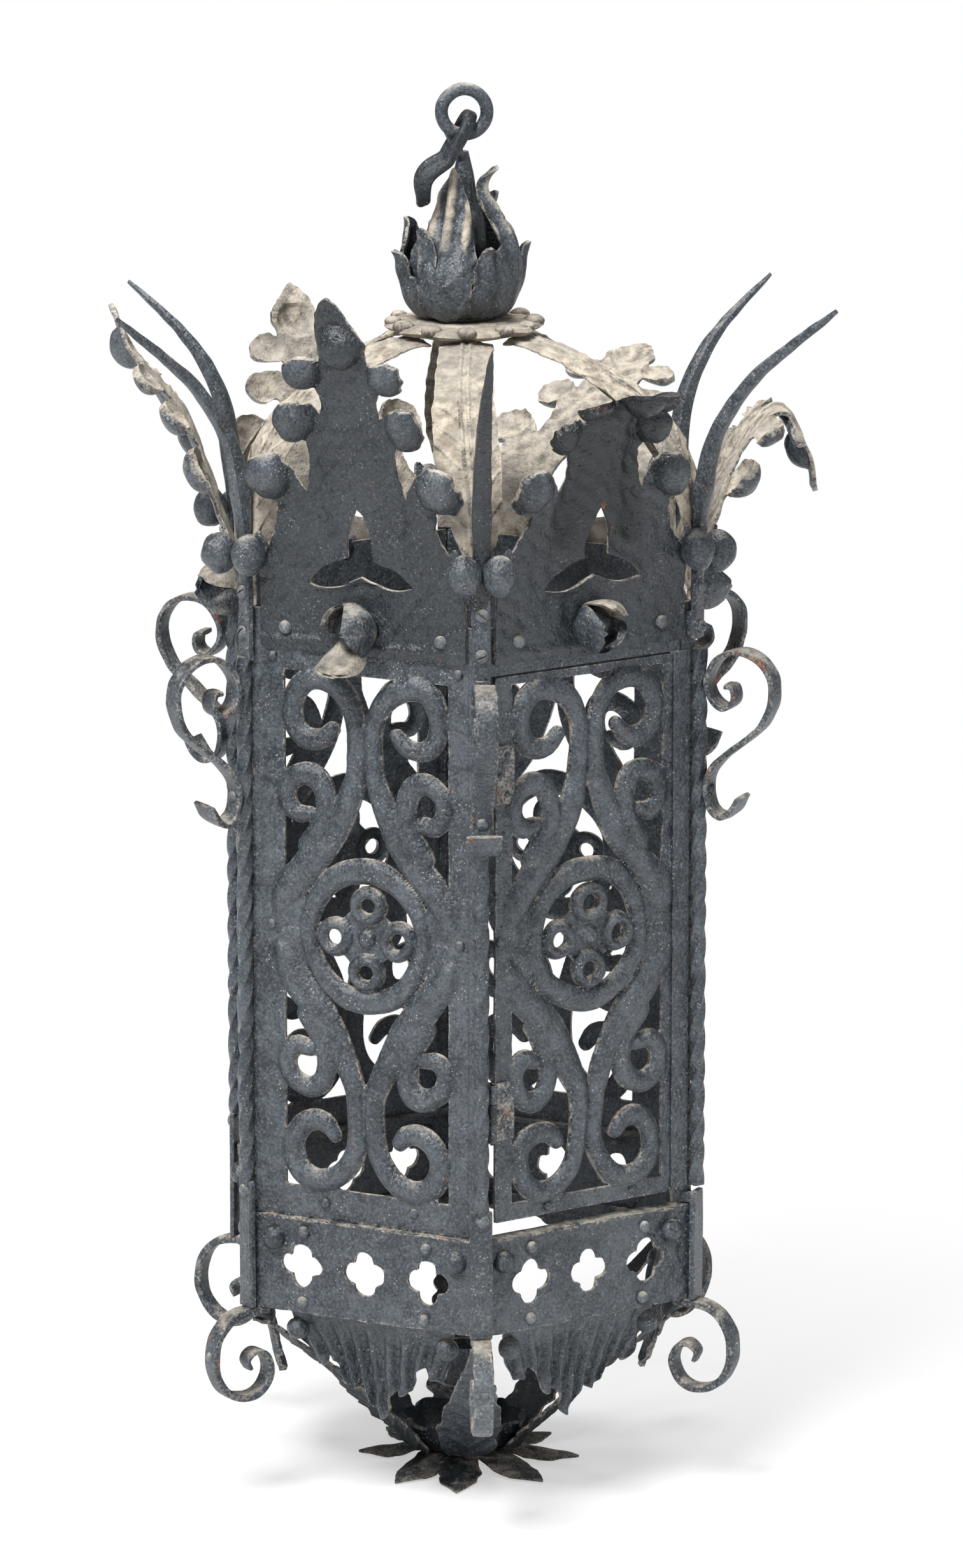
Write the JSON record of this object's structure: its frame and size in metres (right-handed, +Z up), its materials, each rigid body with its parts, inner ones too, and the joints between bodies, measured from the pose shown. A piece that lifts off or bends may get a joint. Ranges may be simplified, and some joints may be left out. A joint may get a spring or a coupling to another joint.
{
  "type": "hanging lantern",
  "caption": "Six-sided iron ceiling lantern with openwork panels, a hinged door, twisted corner bars with thorns, leaf crests, scrolls, a ribbed dome and a hanging ring.",
  "frame": {"origin": "the point on the floor under the lantern's axis, level with the petal tips it stands on", "axes": "+Z up along the stem, -Y towards the front corner, +X to the right seen from the front"},
  "size_m": [0.4199, 0.4768, 0.8352],
  "materials": {
    "iron_slate": "old slate-blue paint, dull, with rust spots",
    "iron_dark": "dark slate paint, dull",
    "iron_dusty": "slate paint under beige dust",
    "iron_bare": "worn bare iron"
  },
  "bodies": {
    "lantern": {"corner_post_1": "iron_slate", "corner_post_2": "iron_slate", "corner_post_3": "iron_slate", "corner_post_4": "iron_slate", "corner_post_5": "iron_slate", "corner_post_6": "iron_slate", "panel_1": "iron_slate", "panel_2": "iron_slate", "panel_3": "iron_slate", "panel_4": "iron_slate", "panel_5": "iron_slate", "hinge_lower": "iron_dark", "hinge_upper": "iron_dark", "lower_band": "iron_slate", "crest_1": "iron_slate", "crest_2": "iron_slate", "crest_3": "iron_slate", "crest_4": "iron_slate", "crest_5": "iron_slate", "crest_6": "iron_slate", "hub_plate": "iron_dusty", "dome_rib_1": "iron_dusty", "dome_rib_2": "iron_dusty", "dome_rib_3": "iron_dusty", "dome_rib_4": "iron_dusty", "dome_rib_5": "iron_dusty", "dome_rib_6": "iron_dusty", "eye_stem": "iron_slate", "crown_flower": "iron_slate", "upper_scroll_1": "iron_slate", "upper_scroll_3": "iron_slate", "upper_scroll_4": "iron_slate", "upper_scroll_5": "iron_slate", "upper_scroll_6": "iron_slate", "lower_scroll_1": "iron_slate", "lower_scroll_2": "iron_slate", "lower_scroll_3": "iron_slate", "lower_scroll_4": "iron_slate", "lower_scroll_5": "iron_slate", "lower_scroll_6": "iron_slate", "basket_rib_1": "iron_slate", "basket_rib_2": "iron_slate", "basket_rib_3": "iron_slate", "basket_rib_4": "iron_slate", "basket_rib_5": "iron_slate", "basket_rib_6": "iron_slate", "valance_1": "iron_dark", "valance_2": "iron_dark", "valance_3": "iron_dark", "valance_4": "iron_dark", "valance_5": "iron_dark", "valance_6": "iron_dark", "base_hub": "iron_dark", "base_rosette": "iron_dark", "candle_socket": "iron_bare"},
    "door": {"door_panel": "iron_slate", "door_stile_bar": "iron_slate", "upper_scroll_2": "iron_slate"},
    "link": {"chain_link": "iron_dark"},
    "ring": {"hanging_ring": "iron_bare"}
  },
  "joints": [
    {"name": "door_hinge", "type": "hinge", "parent": "lantern", "child": "door", "pos_m": [0.00671, -0.14762, 0.353], "axis": [0, 0, -1], "range_deg": [0, 105]},
    {"name": "link_swing", "type": "hinge", "parent": "lantern", "child": "link", "pos_m": [-0.00579, 0, 0.79882], "axis": [0, 1, 0], "range_deg": [0, 65]},
    {"name": "ring_swing", "type": "hinge", "parent": "link", "child": "ring", "pos_m": [0.00263, -0.01445, 0.81464], "axis": [0, 1, 0], "range_deg": [-120, 12]}
  ]
}
